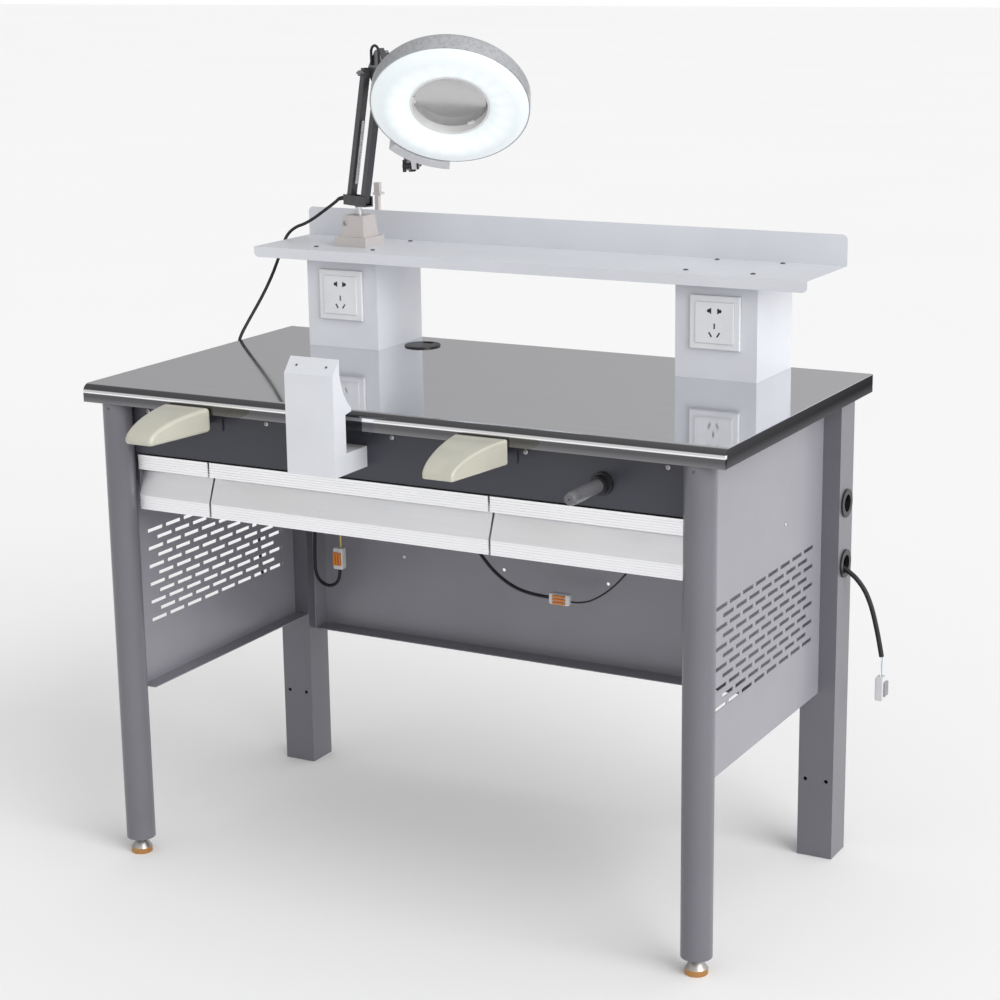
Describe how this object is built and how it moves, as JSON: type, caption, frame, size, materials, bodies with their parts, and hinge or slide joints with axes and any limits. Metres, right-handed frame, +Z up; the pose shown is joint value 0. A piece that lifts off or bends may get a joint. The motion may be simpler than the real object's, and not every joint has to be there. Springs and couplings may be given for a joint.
{
  "type": "dental lab bench",
  "caption": "Steel-topped dental laboratory bench on a panelled frame, with drawers, dust hood, finger rests, air gun, socket posts under a shelf, and a magnifier lamp on a jointed arm.",
  "frame": {"origin": "on the floor, under the middle of the plan of the bench with its finger rests and hook", "axes": "+Z up, +X to the operator's right, -Y towards the seated operator"},
  "size_m": [1.1841, 0.7476, 1.3394],
  "materials": {
    "stainless": "polished, fine brushed",
    "board": "raw board",
    "black_plastic": "satin",
    "grey_paint": "satin powder coat",
    "dark_paint": "satin powder coat",
    "white_paint": "satin powder coat",
    "tray_paint": "satin powder coat",
    "slide_steel": "zinc plated",
    "anodised": "ribbed extrusion, anodised",
    "screw_steel": "dark plated",
    "foot_metal": "plated",
    "cream_plastic": "semi-gloss, slightly translucent",
    "gun_metal": "satin",
    "white_plastic": "gloss",
    "lamp_base": "satin",
    "lamp_metal": "satin",
    "tube_paint": "satin",
    "spring_steel": "bright",
    "black_rubber": "satin",
    "hammer_silver": "hammer finish",
    "diffuser": "opal",
    "lens_glass": "clear",
    "pale_plastic": "satin"
  },
  "bodies": {
    "bench": {"air_gun_holder": "black_plastic", "back_panel": "grey_paint", "cord_fittings": "white_plastic", "desk_grommet": "black_plastic", "drawer_housing": "dark_paint", "drawer_rails": "slide_steel", "dust_hood": "white_paint", "fascia_panel": "dark_paint", "finger_rest_left": "cream_plastic", "finger_rest_right": "cream_plastic", "frame_rails": "grey_paint", "front_leg_left": "grey_paint", "front_leg_right": "grey_paint", "lamp_base": "lamp_base", "lamp_coil": "black_rubber", "lamp_cord": "black_rubber", "lamp_plug": "black_plastic", "leg_grommets": "black_plastic", "loop_left": "black_rubber", "loop_right": "black_rubber", "mains_cable": "black_rubber", "mains_sockets": "white_plastic", "panel_screws": "screw_steel", "post_left": "white_paint", "post_right": "white_paint", "rear_leg_left": "grey_paint", "rear_leg_right": "grey_paint", "rest_brackets": "dark_paint", "shelf": "white_paint", "side_panel_left": "grey_paint", "side_panel_right": "grey_paint", "tool_hook": "pale_plastic", "worktop_core": "board", "worktop_skin": "stainless"},
    "foot_left": {"foot_left": "foot_metal"},
    "foot_right": {"foot_right": "foot_metal"},
    "drawer_left": {"drawer_left_front": "anodised", "drawer_left_tray": "tray_paint"},
    "drawer_middle": {"drawer_middle_front": "anodised", "drawer_middle_tray": "tray_paint"},
    "drawer_right": {"drawer_right_front": "anodised", "drawer_right_tray": "tray_paint"},
    "grommet_cap": {"grommet_cap": "black_plastic"},
    "air_gun": {"air_gun": "gun_metal"},
    "lamp_swivel": {"lamp_swivel": "lamp_metal"},
    "lower_front": {"lower_tube_front": "tube_paint"},
    "lower_rear": {"lower_tube_rear": "tube_paint", "lower_spring": "spring_steel"},
    "elbow": {"elbow_plate": "lamp_metal", "elbow_lead": "black_rubber"},
    "upper_front": {"upper_tube_front": "tube_paint", "upper_spring": "spring_steel"},
    "upper_rear": {"upper_tube_rear": "tube_paint"},
    "head_bracket": {"head_bracket": "lamp_metal"},
    "head_yoke": {"head_yoke": "black_plastic"},
    "lamp_head": {"head_shell": "hammer_silver", "lamp_diffuser": "diffuser", "magnifier_lens": "lens_glass", "lens_ring": "pale_plastic", "switch_box": "pale_plastic"}
  },
  "joints": [
    {"name": "drawer_left_slide", "type": "slide", "parent": "bench", "child": "drawer_left", "axis": [0, -1, 0], "range_m": [0, 0.3]},
    {"name": "drawer_middle_slide", "type": "slide", "parent": "bench", "child": "drawer_middle", "axis": [0, -1, 0], "range_m": [0, 0.3]},
    {"name": "drawer_right_slide", "type": "slide", "parent": "bench", "child": "drawer_right", "axis": [0, -1, 0], "range_m": [0, 0.3]},
    {"name": "air_gun_pull", "type": "slide", "parent": "bench", "child": "air_gun", "axis": [0, -1, 0], "range_m": [0, 0.03]},
    {"name": "grommet_cap_turn", "type": "hinge", "parent": "bench", "child": "grommet_cap", "pos_m": [-0.232, 0.27975, 0.8], "axis": [0, 0, 1], "continuous": true},
    {"name": "foot_left_turn", "type": "hinge", "parent": "bench", "child": "foot_left", "pos_m": [-0.5075, -0.21665, 0.02], "axis": [0, 0, 1], "continuous": true},
    {"name": "foot_right_turn", "type": "hinge", "parent": "bench", "child": "foot_right", "pos_m": [0.5075, -0.21665, 0.02], "axis": [0, 0, 1], "continuous": true},
    {"name": "lamp_turn", "type": "hinge", "parent": "bench", "child": "lamp_swivel", "pos_m": [-0.348, 0.26975, 1.03], "axis": [0, 0, 1], "range_deg": [-90, 100]},
    {"name": "lower_arm_tilt", "type": "hinge", "parent": "lamp_swivel", "child": "lower_front", "pos_m": [-0.31861, 0.25709, 1.052], "axis": [0.3955, 0.9184, 0], "range_deg": [-20, 35]},
    {"name": "lower_rear_tilt", "type": "hinge", "parent": "lamp_swivel", "child": "lower_rear", "pos_m": [-0.35627, 0.27331, 1.052], "axis": [0.3955, 0.9184, 0], "range_deg": [-20, 35]},
    {"name": "elbow_level", "type": "hinge", "parent": "lower_front", "child": "elbow", "pos_m": [-0.27097, 0.23658, 1.26477], "axis": [0.3955, 0.9184, 0], "range_deg": [-35, 20]},
    {"name": "upper_arm_tilt", "type": "hinge", "parent": "elbow", "child": "upper_front", "pos_m": [-0.28704, 0.2435, 1.29677], "axis": [0.3955, 0.9184, 0], "range_deg": [-75, 5]},
    {"name": "upper_rear_tilt", "type": "hinge", "parent": "elbow", "child": "upper_rear", "pos_m": [-0.30863, 0.25279, 1.26477], "axis": [0.3955, 0.9184, 0], "range_deg": [-75, 5]},
    {"name": "head_level", "type": "hinge", "parent": "upper_front", "child": "head_bracket", "pos_m": [-0.18891, 0.20123, 1.14697], "axis": [0.3955, 0.9184, 0], "range_deg": [-5, 75]},
    {"name": "head_turn", "type": "hinge", "parent": "head_bracket", "child": "head_yoke", "pos_m": [-0.18079, 0.18848, 1.12847], "axis": [0, 0, 1], "range_deg": [-30, 40]},
    {"name": "head_tilt", "type": "hinge", "parent": "head_yoke", "child": "lamp_head", "pos_m": [-0.1664, 0.1557, 1.12297], "axis": [-0.9157, -0.4019, 0], "range_deg": [-20, 20]}
  ],
  "couplings": [
    {"joint": "lower_rear_tilt", "follows": "lower_arm_tilt", "ratio": 1},
    {"joint": "elbow_level", "follows": "lower_arm_tilt", "ratio": -1},
    {"joint": "upper_rear_tilt", "follows": "upper_arm_tilt", "ratio": 1},
    {"joint": "head_level", "follows": "upper_arm_tilt", "ratio": -1}
  ]
}
